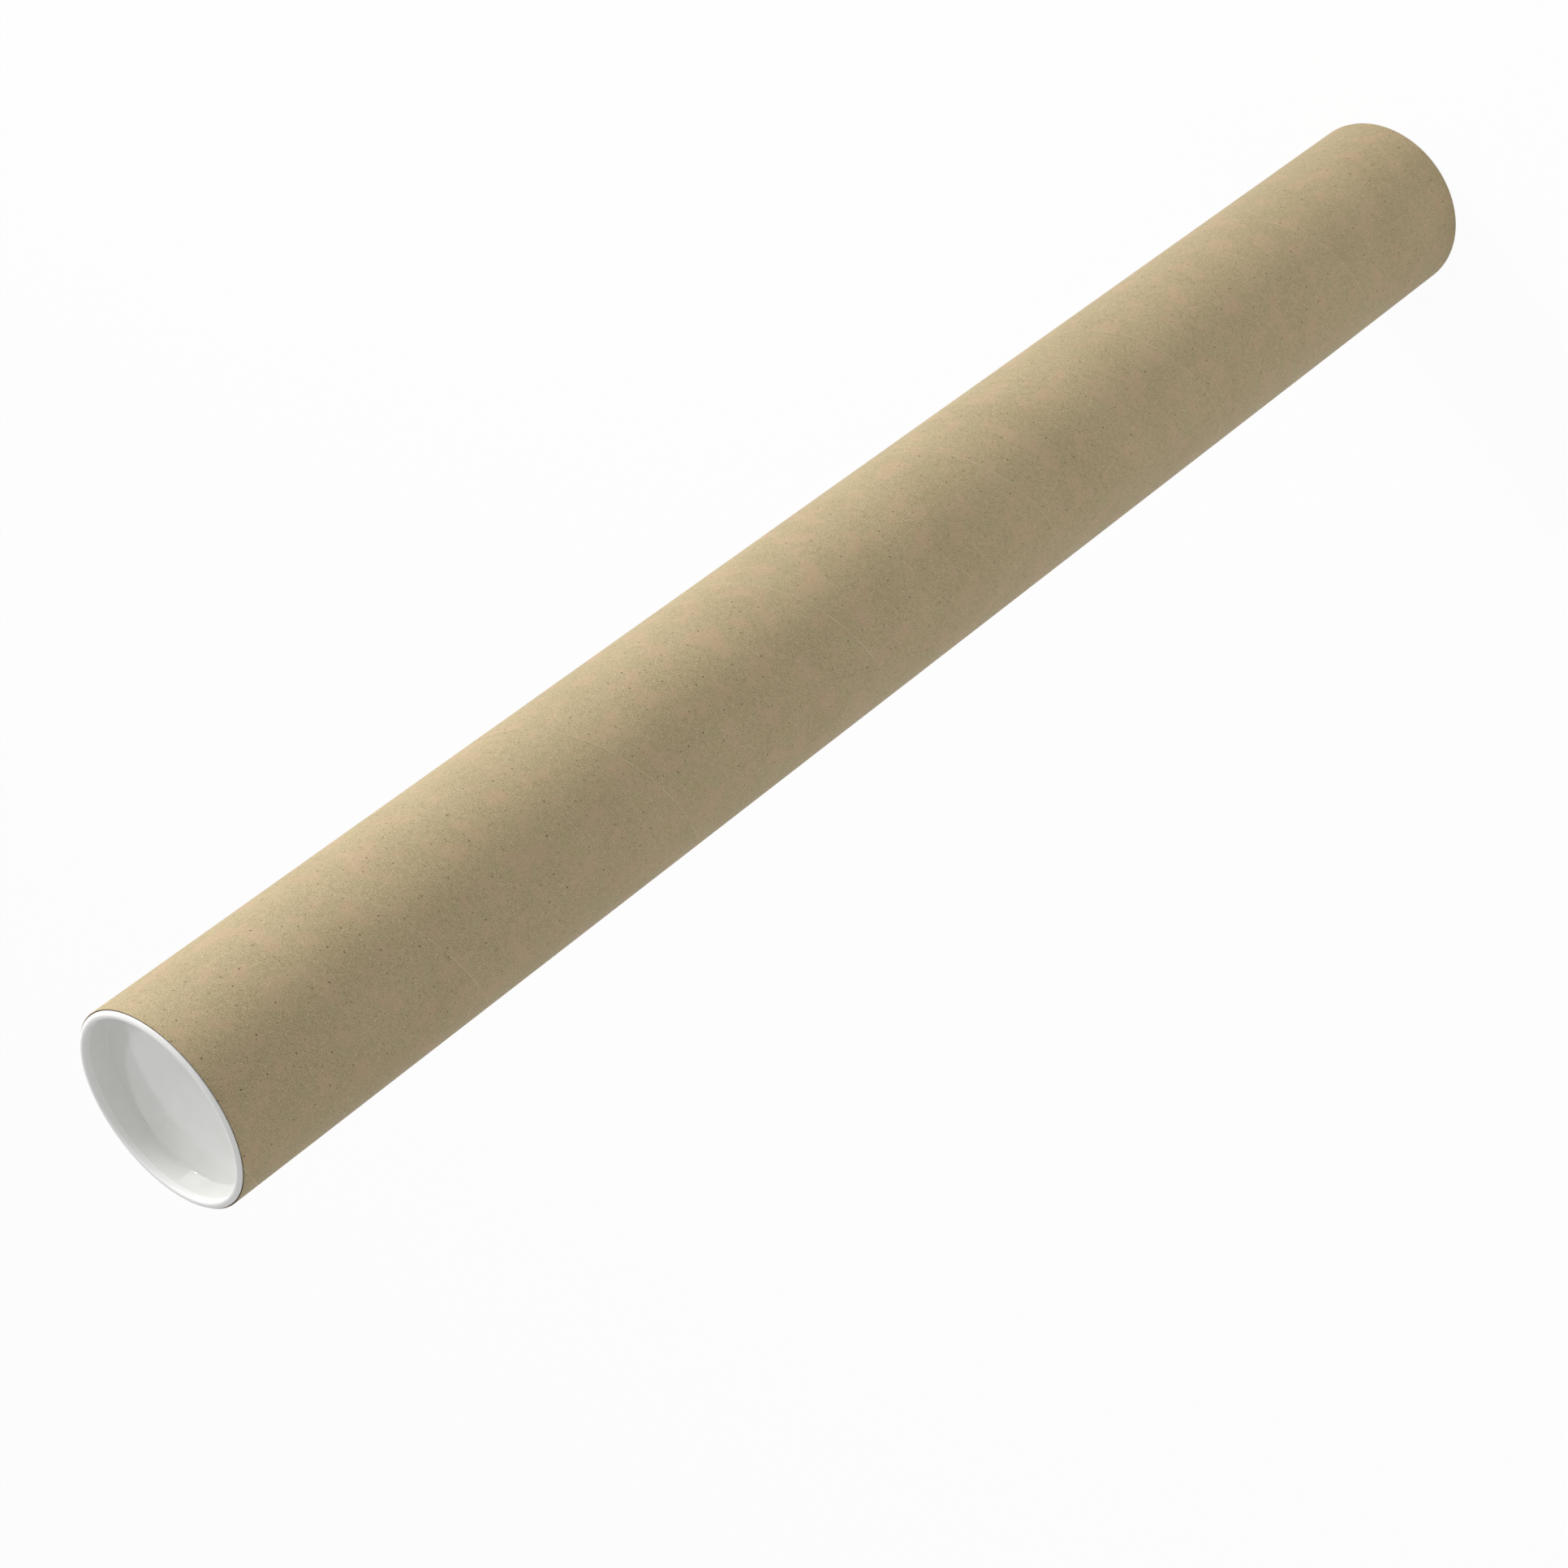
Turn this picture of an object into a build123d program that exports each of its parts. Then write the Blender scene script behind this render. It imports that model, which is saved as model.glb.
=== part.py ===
"""Spiral-wound cardboard mailing tube, closed by a recessed push-in plug at each end.

The tube stands on its lower plug. The origin is the middle of the flange face that it
stands on, Z runs up the tube's axis, and every size is in millimetres.
"""
import os
from math import ceil, cos, pi, radians, sin, sqrt

from build123d import *

# The wound paperboard tube
bore_diameter = 76.2
tube_wall = 2.0
tube_length = 750.0
cut_edge_bevel = 0.12

# The outermost ply, a strip wound on as a rising right-hand helix, and the fine
# vee groove that is left where the edges of its turns meet
ply_width = 103.0
seam_width = 0.4
seam_depth = 0.15
seam_start_height = 89.3
seam_start_angle = -90.0
seam_overcut = 0.2

# The plug's flange, which seats on the tube's cut end: a flat crown that slopes down to its edge
flange_thickness = 1.25
flange_edge_thickness = 0.55
flange_inset = 0.6
flange_slope_width = 1.2
flange_edge_bevel = 0.2

# The plug's mouth, a flared band that ends in a small step
mouth_wall = 1.35
mouth_flare = 0.1
mouth_depth = 1.55
mouth_step = 0.15
mouth_lip_bevel = 0.6

# The plug's skirt, which slides in the bore and tapers towards its inner end
skirt_length = 9.9
skirt_wall = 1.45
skirt_root_clearance = 0.15
skirt_taper = 0.45
lead_in_length = 1.2
lead_in_depth = 0.35

# The sealing beads round the skirt, each a ridge with a steep back and a long lead-in slope
bead_clearance = 0.05
bead_back = 0.4
bead_lead = 1.4
bead_count = 2
first_bead_depth = 2.4
bead_pitch = 3.0

# The floor of the plug's cup
floor_thickness = 1.1
floor_corner_bevel = 0.8

# The gate mark, a low dome that the mould leaves on the cup's floor
gate_offset = 18.7
gate_angle = 98.7
gate_radius = 0.7
gate_height = 0.2

# Worked-out sizes
bore_radius = bore_diameter / 2
tube_radius = bore_radius + tube_wall
flange_radius = tube_radius - flange_inset
tube_base = flange_thickness
tube_top = tube_base + tube_length
floor_level = floor_thickness - skirt_length
tube_girth = 2 * pi * tube_radius
seam_pitch = ply_width * tube_girth / sqrt(tube_girth**2 - ply_width**2)


def make_wall():
    """The plain wall of the tube, standing on height zero, its sharp cut edges just broken."""
    section = Pos(tube_radius - tube_wall / 2, tube_length / 2) * Rectangle(tube_wall, tube_length)
    section = chamfer(section.vertices(), cut_edge_bevel)
    return revolve(Plane.XZ * section, Axis.Z)


def seam_turns():
    """The cutters for the seam groove, one for each turn, from below the wall to above it."""
    helix = Helix(pitch=seam_pitch, height=seam_pitch, radius=tube_radius)
    across = Plane(origin=helix.position_at(0), x_dir=(1, 0, 0), z_dir=helix.tangent_at(0))
    half_width = seam_width / 2 * (seam_depth + seam_overcut) / seam_depth
    vee = Polyline(
        (-seam_depth, 0), (seam_overcut, half_width), (seam_overcut, -half_width), close=True
    )
    turn = Rot(0, 0, seam_start_angle) * sweep(across * make_face(vee), path=helix, is_frenet=True)
    lowest = seam_start_height % seam_pitch - seam_pitch
    turn_count = ceil((tube_length - lowest) / seam_pitch)
    return [Pos(0, 0, lowest + index * seam_pitch) * turn for index in range(turn_count)]


def make_tube():
    """The wound tube: one glued wall with the groove of its outermost ply's seam."""
    return Pos(0, 0, tube_base) * (make_wall() - seam_turns())


def skirt_radius(depth):
    """The radius of the tapered skirt at a depth below the flange."""
    return bore_radius - skirt_root_clearance - skirt_taper * depth / skirt_length


def bead_outline(depth):
    """The three corners of one sealing bead, whose crest stands just clear of the bore."""
    back_start = depth - bead_back
    lead_end = depth + bead_lead
    return [
        (skirt_radius(back_start), -back_start, 0.0),
        (bore_radius - bead_clearance, -depth, 0.0),
        (skirt_radius(lead_end), -lead_end, 0.0),
    ]


def plug_outline():
    """Half of the plug's section: its corners and the bevel that breaks each of them.

    The first number is the distance from the axis and the second the height, with
    zero where the flange meets the tube's cut end and the flange above it.
    """
    lead_in_start = skirt_length - lead_in_length
    skirt_end = skirt_radius(skirt_length)
    mouth_top = bore_radius - mouth_wall
    mouth_bottom = mouth_top - mouth_flare
    wall_top = mouth_bottom + mouth_step
    wall_bottom = skirt_end - skirt_wall
    beads = []
    for index in range(bead_count):
        beads += bead_outline(first_bead_depth + index * bead_pitch)
    return [
        (0.0, floor_level, 0.0),
        (wall_bottom, floor_level, floor_corner_bevel),
        (wall_top, -mouth_depth - mouth_step, 0.0),
        (mouth_bottom, -mouth_depth, 0.0),
        (mouth_top, flange_thickness, mouth_lip_bevel),
        (flange_radius - flange_slope_width, flange_thickness, 0.0),
        (flange_radius, flange_edge_thickness, flange_edge_bevel),
        (flange_radius, 0.0, 0.0),
        (skirt_radius(0.0), 0.0, 0.0),
        *beads,
        (skirt_radius(lead_in_start), -lead_in_start, 0.0),
        (skirt_end - lead_in_depth, -skirt_length, 0.0),
        (0.0, -skirt_length, 0.0),
    ]


def bevelled_face(outline):
    """A flat face with the given corners, each cut back along both of its sides by its bevel."""
    points = []
    for index, (x, y, bevel) in enumerate(outline):
        corner = Vector(x, y)
        if bevel > 0:
            before = Vector(*outline[index - 1][:2])
            after = Vector(*outline[(index + 1) % len(outline)][:2])
            points.append(corner + (before - corner).normalized() * bevel)
            points.append(corner + (after - corner).normalized() * bevel)
        else:
            points.append(corner)
    return make_face(Polyline(*points, close=True))


def make_gate_mark():
    """The low dome that the mould's gate leaves on the floor of the cup."""
    ball_radius = (gate_radius**2 + gate_height**2) / (2 * gate_height)
    place = Pos(
        gate_offset * cos(radians(gate_angle)),
        gate_offset * sin(radians(gate_angle)),
        floor_level,
    )
    ball = Pos(0, 0, gate_height - ball_radius) * Sphere(ball_radius)
    cap = ball & Pos(0, 0, gate_height / 2 - floor_thickness / 4) * Box(
        2 * gate_radius, 2 * gate_radius, gate_height + floor_thickness / 2
    )
    return place * cap


def make_plug():
    """The moulded plug with its flange up, its skirt down and its seat at height zero."""
    return revolve(Plane.XZ * bevelled_face(plug_outline()), Axis.Z) + make_gate_mark()


def main():
    plug = make_plug()
    parts = {
        "tube": make_tube(),
        "upper_plug": Pos(0, 0, tube_top) * plug,
        "lower_plug": Pos(0, 0, tube_base) * Rot(180, 0, 0) * plug,
    }
    os.makedirs("parts", exist_ok=True)
    for name, shape in parts.items():
        export_step(shape, f"parts/{name}.step")


if __name__ == "__main__":
    main()
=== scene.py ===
"""Dresses a cardboard mailing tube: wound kraft board, two moulded end plugs and a plain stage."""
import math

import bmesh
import bpy
from mathutils import Matrix, Vector, noise


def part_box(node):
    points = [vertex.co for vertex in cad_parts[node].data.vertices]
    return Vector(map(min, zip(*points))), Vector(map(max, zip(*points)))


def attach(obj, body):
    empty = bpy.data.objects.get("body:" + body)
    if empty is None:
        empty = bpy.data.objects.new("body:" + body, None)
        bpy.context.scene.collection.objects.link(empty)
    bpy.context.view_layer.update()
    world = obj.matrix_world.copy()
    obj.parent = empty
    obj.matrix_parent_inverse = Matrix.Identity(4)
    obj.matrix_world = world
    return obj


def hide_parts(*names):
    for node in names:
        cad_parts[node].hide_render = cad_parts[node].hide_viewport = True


bl_info = {
    "name": "Mailing tube",
    "version": (1, 0, 0),
    "blender": (4, 5, 0),
    "location": "3D View > Sidebar > Mailing tube",
    "description": "Wound kraft board, moulded end plugs and a plain stage for a mailing tube",
    "category": "Object",
}

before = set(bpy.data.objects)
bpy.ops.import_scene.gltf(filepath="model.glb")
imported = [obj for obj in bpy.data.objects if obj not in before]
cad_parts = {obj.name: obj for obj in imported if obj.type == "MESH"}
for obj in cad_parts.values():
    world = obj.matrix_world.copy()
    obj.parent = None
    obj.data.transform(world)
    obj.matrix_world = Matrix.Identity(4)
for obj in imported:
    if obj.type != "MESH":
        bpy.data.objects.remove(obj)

MM = 0.001
FULL_TURN = 2 * math.pi

# Sizes that the construction model gives
TUBE_LOW, TUBE_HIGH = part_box("tube")
PLUG_LOW, PLUG_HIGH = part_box("upper_plug")
TUBE_RADIUS = (TUBE_HIGH.x - TUBE_LOW.x) / 2
TUBE_BASE = TUBE_LOW.z
TUBE_TOP = TUBE_HIGH.z
BORE_RADIUS = min(math.hypot(*corner.co.xy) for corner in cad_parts["tube"].data.vertices)
FLANGE_RADIUS = (PLUG_HIGH.x - PLUG_LOW.x) / 2
FLANGE_THICKNESS = PLUG_HIGH.z - TUBE_TOP
SKIRT_LENGTH = TUBE_TOP - PLUG_LOW.z

# How finely the turned and wound surfaces are divided
COLUMNS = 192
ROW_SPACING = 5.0 * MM
BORE_ROWS = 24
ARC_STEPS = 6
EDGE_STEPS = 3
GATE_STEPS = 7
SUPPORT_GAP = 0.03 * MM

# The rows beside the seam, as distances from its middle in half widths of the groove
SEAM_ROWS = (0.0, 0.5, 1.0, 1.3, 2.2, 5.0, 10.0)

# How far from a cut end the outer face has its full unevenness
END_FADE = 1.0 * MM

# Points closer than this are one, an edge shorter than this is none, and heights closer
# than this are the same level
SAME_POINT = 0.002 * MM
NO_EDGE = 0.001 * MM
SAME_LEVEL = 0.01 * MM

# A crease steeper than this stays sharp
BOARD_CREASE = math.radians(25.0)
PLASTIC_CREASE = math.radians(22.0)

WHITE = (1.0, 1.0, 1.0, 1.0)

# Noise in the board and the plastic, in humps to the millimetre
GRAIN = dict(scale=1.9, detail=3.0, roughness=0.75)
MOTTLE = dict(scale=0.42, detail=3.0, roughness=0.6)
DRIFT = dict(scale=0.035)
WARMTH = dict(scale=0.09, shift=(71.0, 13.0, 0.0))
COOLNESS = dict(scale=0.13, shift=(19.0, 47.0, 0.0))
SHEEN = dict(scale=0.4)
SEAM_BREAK = dict(scale=0.10, detail=3.0, roughness=0.7)
SEAM_FADE = dict(scale=0.9, shift=(0.0, 40.0, 0.0))
LAYERS = dict(scale=9.0)
FUZZ = dict(scale=3.0, detail=3.0, roughness=0.7)
FLOW = dict(scale=0.09)
TEXTURE = dict(scale=1.4, detail=3.0, roughness=0.6)
WAVE = dict(scale=0.16, detail=1.0)

# Where on a noise's way from 0 to 1 it starts to show, and where it shows in full
WARM_RANGE = (0.48, 0.66)
COOL_RANGE = (0.50, 0.72)
SEAM_BREAK_RANGE = (0.36, 0.60)
SEAM_FADE_RANGE = (0.25, 0.60)
CLOUD_RANGE = (0.3, 0.7)

# Fibres and specks scattered over the unrolled strip, in millimetres. A cell of a pattern
# holds one at most, share says how many of the cells do, and the shifts keep the patterns
# from falling on each other. Reach and width are half of the longest fibre's length and of
# its width.
DARK_FIBRES = dict(cell=1.7, reach=0.55, width=0.11, bend=0.5, share=0.60, shift=(5.0, 8.5, 0.0))
LIGHT_FIBRES = dict(cell=1.9, reach=0.60, width=0.11, bend=0.5, share=0.60, shift=(91.0, 154.7, 0.0))
SCRATCHES = dict(cell=13.0, reach=1.8, width=0.12, bend=0.08, share=0.45, shift=(53.0, 90.1, 0.0))
PALE_SPECKS = dict(cell=4.5, radius=0.36, share=0.55, shift=(29.0, 66.7, 0.0))
DARK_SPECKS = dict(cell=3.8, radius=0.38, share=0.60, shift=(67.0, 154.1, 0.0))
BARK_SPECKS = dict(cell=10.0, radius=0.55, share=0.70, shift=(11.0, 25.3, 0.0))

# The shortest fibre as a share of the longest, and the share of its reach that fades out
SHORTEST_FIBRE = 0.5
FIBRE_FADE = 0.3

# The solid share of a speck's radius, its length over its width, and its weakest strength
SPECK_CORE = 0.3
SPECK_FLATNESS = 1.265
WEAKEST_SPECK = 0.4

# How high the board's grain and fibres stand, as shares of its relief
GRAIN_HEIGHT = 0.6
MOTTLE_HEIGHT = 0.3
LIGHT_FIBRE_HEIGHT = 0.2
SCRATCH_HEIGHT = 0.3
DARK_FIBRE_DEPTH = 0.1

# Where the pale line of the seam starts to fade and where it ends, in half widths of the
# groove, and how strong it is at its faintest
SEAM_LINE = (0.5, 1.4)
SEAM_FAINTEST = 0.30

# The main tone of each face of the board, from 0 for its deep tone to 1 for its pale one
OUTER_TONE = 0.5
BORE_TONE = 0.35

# The least and the most roughness of each surface, and how much the plug's rim adds
OUTER_ROUGHNESS = (0.52, 0.68)
BORE_ROUGHNESS = (0.72, 0.77)
CUT_END_ROUGHNESS = (0.85, 0.90)
PLASTIC_ROUGHNESS = (0.06, 0.12)
RIM_ROUGHNESS = 0.36

# How much of a cut end's unevenness is fuzz, and of the plastic's is fine texture
FUZZ_SHARE = 0.4
TEXTURE_SHARE = 0.15


def length(name, description, default):
    """A size in metres that a user can change."""
    return bpy.props.FloatProperty(
        name=name, description=description, default=default, unit="LENGTH", precision=5
    )


def colour(name, description, default):
    """A linear colour that a user can change."""
    return bpy.props.FloatVectorProperty(
        name=name, description=description, default=default, subtype="COLOR", min=0.0, max=1.0
    )


def number(name, description, default):
    """A plain number that a user can change."""
    return bpy.props.FloatProperty(name=name, description=description, default=default)


def angle(name, description, degrees):
    """An angle that a user can change, given in degrees."""
    return bpy.props.FloatProperty(
        name=name, description=description, default=math.radians(degrees), subtype="ANGLE"
    )


class BoardSettings(bpy.types.PropertyGroup):
    """Sizes and colours of the wound board."""

    ply_width: length("Ply width", "Width of the strip that is wound on last", 103.0 * MM)
    seam_width: length("Seam width", "Width of the groove where the strip's turns meet", 0.4 * MM)
    seam_depth: length("Seam depth", "Depth of that groove", 0.15 * MM)
    seam_height: length("Seam height", "Lowest crossing of the front, above the cut end", 89.3 * MM)
    seam_angle: angle("Seam angle", "Where round the tube the seam height is measured", -90.0)
    ply_thickness: length("Ply thickness", "Thickness of each layer in the wall", 0.4 * MM)
    ply_line: length("Ply line", "Depth of the fine lines between layers in a cut end", 0.04 * MM)
    edge_bevel: length("Edge bevel", "How far the bore's cut edges are broken", 0.12 * MM)
    edge_round: length("Edge rounding", "Rounding of the outer ply at the cut ends", 0.26 * MM)
    ripple: length("Ripple", "Height of the slow unevenness of the outer face", 0.03 * MM)
    ripple_length: length("Ripple length", "Distance between the humps of that unevenness", 14.0 * MM)
    pale: colour("Pale board", "The lighter of the board's two main tones", (0.610, 0.505, 0.315))
    deep: colour("Deep board", "The darker of the board's two main tones", (0.250, 0.187, 0.090))
    warm: colour("Warm tint", "Tint of the board's warmer clouds", (0.520, 0.362, 0.235))
    cool: colour("Cool tint", "Tint of the board's greener clouds", (0.400, 0.350, 0.190))
    light_fibre: colour("Light fibre", "Colour of the light fibres", (0.680, 0.580, 0.390))
    dark_fibre: colour("Dark fibre", "Colour of the dark fibres", (0.200, 0.140, 0.075))
    speck: colour("Speck", "Colour of the small dark specks", (0.060, 0.040, 0.025))
    seam_tone: colour("Seam", "Colour of the paper's cut edge in the seam", (0.660, 0.560, 0.380))
    # The two cut end colours are painted shade: near black for the shadow in the gap under each
    # plug's flange
    cut_end_painted_shade: colour("Cut end", "Colour of the sawn layers", (0.055, 0.044, 0.034))
    cut_end_deeper_painted_shade: colour("Cut end shade", "Colour between the sawn layers", (0.025, 0.020, 0.016))
    grain_contrast: number("Grain contrast", "How strongly the finest grain shows", 2.3)
    mottle_contrast: number("Mottle contrast", "How strongly the coarser grain shows", 0.45)
    drift_contrast: number("Drift contrast", "How strongly the widest clouds show", 0.22)
    warm_strength: number("Warm strength", "How strongly the warm tint shows", 0.50)
    cool_strength: number("Cool strength", "How strongly the greener tint shows", 0.35)
    light_fibre_strength: number("Light fibres", "How strongly the light fibres show", 0.30)
    dark_fibre_strength: number("Dark fibres", "How strongly the dark fibres show", 0.35)
    scratch_strength: number("Scratches", "How strongly the long light fibres show", 0.40)
    pale_speck_strength: number("Pale specks", "How strongly the pale specks show", 0.85)
    dark_speck_strength: number("Dark specks", "How strongly the small dark specks show", 0.70)
    bark_speck_strength: number("Bark specks", "How strongly the large dark specks show", 0.95)
    gloss: number("Gloss", "Strength of the paper's shine", 0.2)
    relief: length("Relief", "Height of the paper's roughness", 0.04 * MM)
    relief_strength: number("Relief strength", "How strongly that roughness shades", 0.7)


class PlugSettings(bpy.types.PropertyGroup):
    """Sizes and colours of the moulded plugs."""

    mouth_wall: length("Mouth wall", "Wall at the top of the mouth, from the bore", 1.35 * MM)
    mouth_flare: length("Mouth flare", "How much the mouth narrows", 0.1 * MM)
    mouth_depth: length("Mouth depth", "Depth of the flared band below the seat", 1.55 * MM)
    mouth_step: length("Mouth step", "Width of the small step under the band", 0.15 * MM)
    lip_radius: length("Lip radius", "Rounding of the mouth's edge", 0.9 * MM)
    slope_width: length("Slope width", "Width of the flange's slope", 1.2 * MM)
    slope_radius: length("Slope radius", "Rounding between the flange's crown and slope", 1.6 * MM)
    edge_thickness: length("Edge thickness", "Thickness at the flange's outer edge", 0.55 * MM)
    flange_edge_radius: length("Flange edge", "Rounding of the flange's outer edge", 0.3 * MM)
    skirt_wall: length("Skirt wall", "Thickness of the cup's side", 1.45 * MM)
    skirt_clearance: length("Skirt clearance", "Gap between the bore and the skirt's root", 0.15 * MM)
    skirt_taper: length("Skirt taper", "How much the skirt narrows", 0.45 * MM)
    lead_in_length: length("Lead-in length", "Length of the slope at the skirt's end", 1.2 * MM)
    lead_in_depth: length("Lead-in depth", "Depth of that slope", 0.35 * MM)
    floor_thickness: length("Floor thickness", "Thickness of the cup's floor", 1.1 * MM)
    floor_fillet: length("Floor fillet", "Rounding between the floor and the side", 0.7 * MM)
    bead_clearance: length("Bead clearance", "Gap between a bead's crest and the bore", 0.05 * MM)
    bead_back: length("Bead back", "Length of a bead's steep side", 0.4 * MM)
    bead_lead: length("Bead lead", "Length of a bead's long slope", 1.4 * MM)
    first_bead: length("First bead", "Depth of the first bead's crest", 2.4 * MM)
    bead_pitch: length("Bead pitch", "Distance between the beads", 3.0 * MM)
    gate_offset: length("Gate offset", "Distance of the gate mark from the axis", 18.7 * MM)
    gate_angle: angle("Gate angle", "Place of the gate mark round the axis", 98.7)
    gate_radius: length("Gate radius", "Radius of the gate mark", 0.7 * MM)
    gate_height: length("Gate height", "Height of the gate mark", 0.2 * MM)
    plastic: colour("Plastic", "Colour of the white polyethylene", (0.905, 0.910, 0.880))
    shade: colour("Plastic shade", "Colour of its slightly duller clouds", (0.875, 0.880, 0.845))
    # The rim colour is painted light: a lighter copy of the plastic for the flange and mouth band,
    # which catch more light
    painted_lit_rim: colour("Rim", "Colour of the cleaner plastic of the flange and mouth", (0.970, 0.972, 0.955))
    refraction: number("Refraction", "Index of refraction of the plastic", 1.51)
    glow_share: number("Glow", "How much of the light passes through the plastic's skin", 0.12)
    glow_depth: length("Glow depth", "How deep that light reaches", 1.5 * MM)
    glow_tint: colour("Glow tint", "How deep it reaches in each colour", (1.0, 1.0, 0.95))
    relief: length("Relief", "Height of the surface's slow waves and texture", 0.12 * MM)
    relief_strength: number("Relief strength", "How strongly they shade", 0.5)


class StageSettings(bpy.types.PropertyGroup):
    """The floor, lamps and camera."""

    floor_colour: colour("Floor", "Colour of the floor", (0.88, 0.88, 0.87))
    floor_share: number("Floor glow", "How much of the floor's seen tone is plain white", 0.95)
    floor_reach: length("Floor reach", "Distance from the axis to the floor's sides", 8.0)
    floor_drop: length("Floor drop", "How far the floor lies below the part", 0.02 * MM)
    sky_level: number("Sky level", "Strength of the soft light from all round", 0.475)
    key_level: number("Key level", "Strength of the main lamp on a surface facing it", 0.86)
    key_side: angle("Key side", "Direction of the main lamp round the tube", -1.0)
    key_rise: angle("Key rise", "Height of the main lamp as an angle", 13.0)
    key_size: length("Key size", "Width of the main lamp", 0.8)
    key_distance: length("Key distance", "Distance of the main lamp from the tube's axis", 1.8)
    key_height: length("Key target", "Height on the tube that the main lamp points at", 0.5)
    top_level: number("Top level", "Strength of the lamp above the tube", 0.10)
    top_side: angle("Top side", "Direction of the top lamp round the tube", 7.0)
    top_rise: angle("Top rise", "Height of the top lamp as an angle", 42.0)
    top_size: length("Top size", "Width of the top lamp", 0.12)
    top_distance: length("Top distance", "Distance of the top lamp from its target", 1.6)
    top_height: length("Top target", "Height on the axis that the top lamp points at", 0.7)
    fill_level: number("Fill level", "Strength of the weak lamp on the other side", 0.14)
    fill_side: angle("Fill side", "Direction of the weak lamp round the tube", -140.0)
    fill_rise: angle("Fill rise", "Height of the weak lamp as an angle", 5.0)
    fill_size: length("Fill size", "Width of the weak lamp", 0.5)
    fill_distance: length("Fill distance", "Distance of the weak lamp from the tube's axis", 0.9)
    fill_height: length("Fill target", "Height on the tube that the weak lamp points at", 0.25)
    camera_back: length("Camera distance", "Distance in front of the tube's axis", 1.12897)
    camera_height: length("Camera height", "Height above the floor", 1.27249)
    camera_turn: angle("Camera turn", "How far it looks to the right of straight on", -2.1252)
    camera_tilt: angle("Camera tilt", "How far it looks down", 35.5954)
    camera_roll: angle("Camera roll", "How far it is rolled to the right", 127.8126)
    camera_lens: number("Lens", "Focal length in millimetres", 83.323)
    camera_sensor: number("Sensor", "Sensor width in millimetres", 36.0)
    camera_nearest: length("Nearest", "Shortest distance that the camera sees", 0.05)
    camera_farthest: length("Farthest", "Longest distance that the camera sees", 50.0)


class Value:
    """A socket of a node tree that plain Python arithmetic works on."""

    def __init__(self, shader, socket):
        self.shader = shader
        self.socket = socket

    def __add__(self, other):
        return self.shader.maths("ADD", self, other)

    def __radd__(self, other):
        return self.shader.maths("ADD", other, self)

    def __sub__(self, other):
        return self.shader.maths("SUBTRACT", self, other)

    def __rsub__(self, other):
        return self.shader.maths("SUBTRACT", other, self)

    def __mul__(self, other):
        return self.shader.maths("MULTIPLY", self, other)

    def __rmul__(self, other):
        return self.shader.maths("MULTIPLY", other, self)

    def __truediv__(self, other):
        return self.shader.maths("DIVIDE", self, other)

    def __rtruediv__(self, other):
        return self.shader.maths("DIVIDE", other, self)

    def __lt__(self, other):
        return self.shader.maths("LESS_THAN", self, other)

    def __gt__(self, other):
        return self.shader.maths("GREATER_THAN", self, other)

    def __abs__(self):
        return self.shader.maths("ABSOLUTE", self)

    def floor(self):
        return self.shader.maths("FLOOR", self)

    def least(self, other):
        return self.shader.maths("MINIMUM", self, other)

    def most(self, other):
        return self.shader.maths("MAXIMUM", self, other)

    def clamped(self):
        return self.shader.add("ShaderNodeClamp", sockets={"Value": self})

    def from_to(self, low, high):
        """0 at low and below, 1 at high and above, with a smooth rise between them."""
        return self.shader.add(
            "ShaderNodeMapRange",
            {"interpolation_type": "SMOOTHSTEP"},
            {"Value": self, "From Min": low, "From Max": high},
        )

    def between(self, low, high):
        """low where this is 0 and high where it is 1."""
        return low + self * (high - low)

    def centred(self):
        """A noise from 0 to 1 as its distance from its middle."""
        return self - 0.5


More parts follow.
